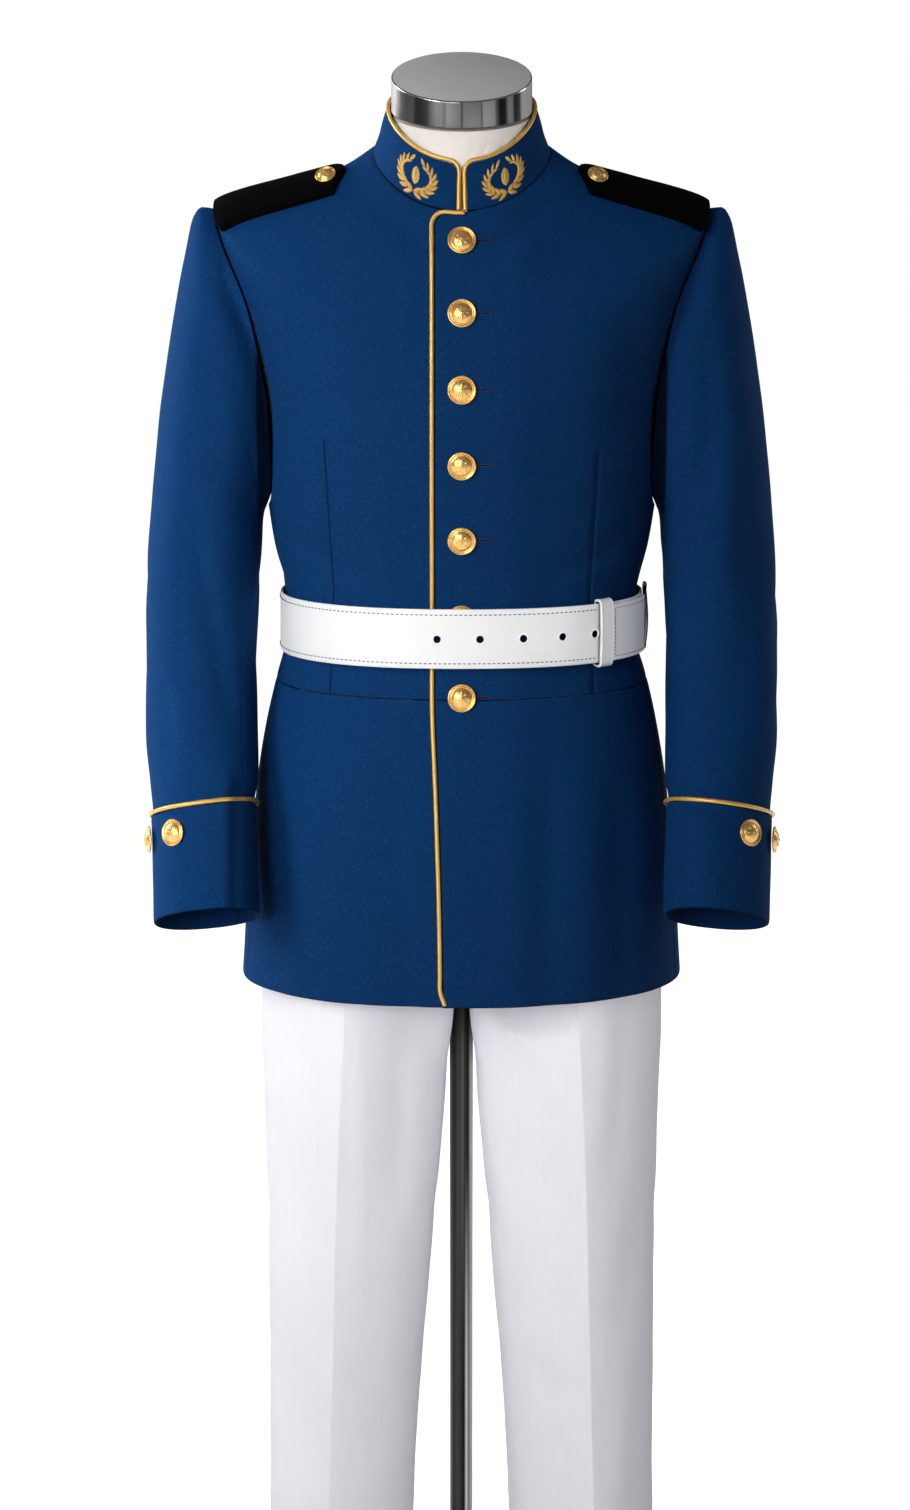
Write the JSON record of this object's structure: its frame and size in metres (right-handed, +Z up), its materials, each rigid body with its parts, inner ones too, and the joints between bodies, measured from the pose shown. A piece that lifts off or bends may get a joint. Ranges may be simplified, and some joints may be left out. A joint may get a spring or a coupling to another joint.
{
  "type": "firefighter dress uniform on a limbless dress form",
  "caption": "Navy stand-collar dress tunic with gold piping and gilt buttons, white belt and white pressed trousers, hung on a limbless dress form with a chrome neck cap, pole and round base.",
  "frame": {"origin": "on the floor under the middle of the stand's round base", "axes": "+Z up, the front of the uniform faces -Y, +X is the wearer's left"},
  "size_m": [0.5802, 0.4, 1.6409],
  "materials": {
    "navy_wool": "matte close wool barathea",
    "gold_cord": "satin piping cord",
    "gold_button": "polished gilt",
    "black_velvet": "matte",
    "white_leather": "smooth satin",
    "white_twill": "matte cotton twill",
    "form_linen": "matte stretched jersey",
    "chrome": "polished",
    "brushed_steel": "satin",
    "white_enamel": "gloss enamel",
    "dark_metal": "satin"
  },
  "bodies": {
    "root": {"back_left": "navy_wool", "back_right": "navy_wool", "base_plate": "brushed_steel", "belt_buckle": "dark_metal", "belt_fold": "white_leather", "belt_keeper": "white_leather", "belt_strap": "white_leather", "board_button_left": "gold_button", "board_button_right": "gold_button", "collar": "navy_wool", "collar_piping": "gold_cord", "cuff_button_left_1": "gold_button", "cuff_button_left_2": "gold_button", "cuff_button_right_1": "gold_button", "cuff_button_right_2": "gold_button", "cuff_left": "navy_wool", "cuff_piping_left": "gold_cord", "cuff_piping_right": "gold_cord", "cuff_right": "navy_wool", "eyelet_1": "white_enamel", "eyelet_2": "white_enamel", "eyelet_3": "white_enamel", "eyelet_4": "white_enamel", "eyelet_5": "white_enamel", "form_torso": "form_linen", "front_button_1": "gold_button", "front_button_2": "gold_button", "front_button_3": "gold_button", "front_button_4": "gold_button", "front_button_5": "gold_button", "front_button_6": "gold_button", "front_button_7": "gold_button", "front_left": "navy_wool", "front_piping": "gold_cord", "front_right": "navy_wool", "neck_cap": "chrome", "pole": "chrome", "pole_foot": "chrome", "shoulder_board_left": "black_velvet", "shoulder_board_right": "black_velvet", "skirt_back_left": "navy_wool", "skirt_back_right": "navy_wool", "skirt_front_left": "navy_wool", "skirt_front_right": "navy_wool", "top_sleeve_left": "navy_wool", "top_sleeve_right": "navy_wool", "trouser_back_left": "white_twill", "trouser_back_right": "white_twill", "trouser_front_left": "white_twill", "trouser_front_right": "white_twill", "trouser_waistband": "white_twill", "under_sleeve_left": "navy_wool", "under_sleeve_right": "navy_wool"}
  },
  "joints": []
}
